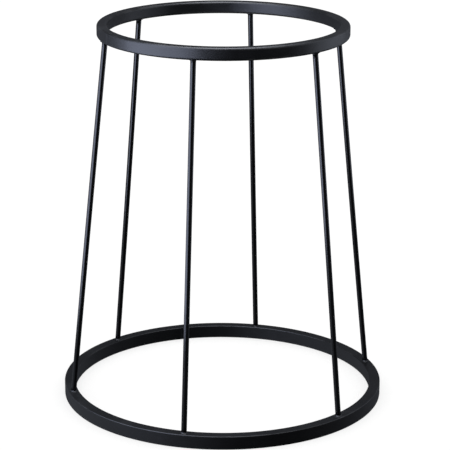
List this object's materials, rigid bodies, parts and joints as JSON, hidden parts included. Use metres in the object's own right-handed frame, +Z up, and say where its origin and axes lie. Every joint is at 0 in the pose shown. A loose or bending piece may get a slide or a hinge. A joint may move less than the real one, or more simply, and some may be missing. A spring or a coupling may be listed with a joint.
{
  "type": "firewood log rack",
  "caption": "Open tapered rack of black welded steel: a small ring of rounded bar on top, a larger flat-bar ring on the floor and slanting rods between.",
  "frame": {"origin": "on the floor, at the centre of the lower ring", "axes": "+Z up through the centres of both rings, +X to the right and +Y to the back as seen from the front"},
  "size_m": [0.3, 0.3, 0.354],
  "materials": {
    "ring_coat": "black powder coat, satin, fine orange peel",
    "rod_coat": "black powder coat, satin",
    "weld_coat": "black powder coat over rippled weld metal"
  },
  "bodies": {
    "root": {"lower_ring": "ring_coat", "upper_ring": "ring_coat", "lower_ring_seam": "weld_coat", "upper_ring_seam": "weld_coat", "rod_1": "rod_coat", "rod_2": "rod_coat", "rod_3": "rod_coat", "rod_4": "rod_coat", "rod_5": "rod_coat", "rod_6": "rod_coat", "foot_weld_1": "weld_coat", "foot_weld_2": "weld_coat", "foot_weld_3": "weld_coat", "foot_weld_4": "weld_coat", "foot_weld_5": "weld_coat", "foot_weld_6": "weld_coat", "head_weld_1": "weld_coat", "head_weld_2": "weld_coat", "head_weld_3": "weld_coat", "head_weld_4": "weld_coat", "head_weld_5": "weld_coat", "head_weld_6": "weld_coat"}
  },
  "joints": []
}
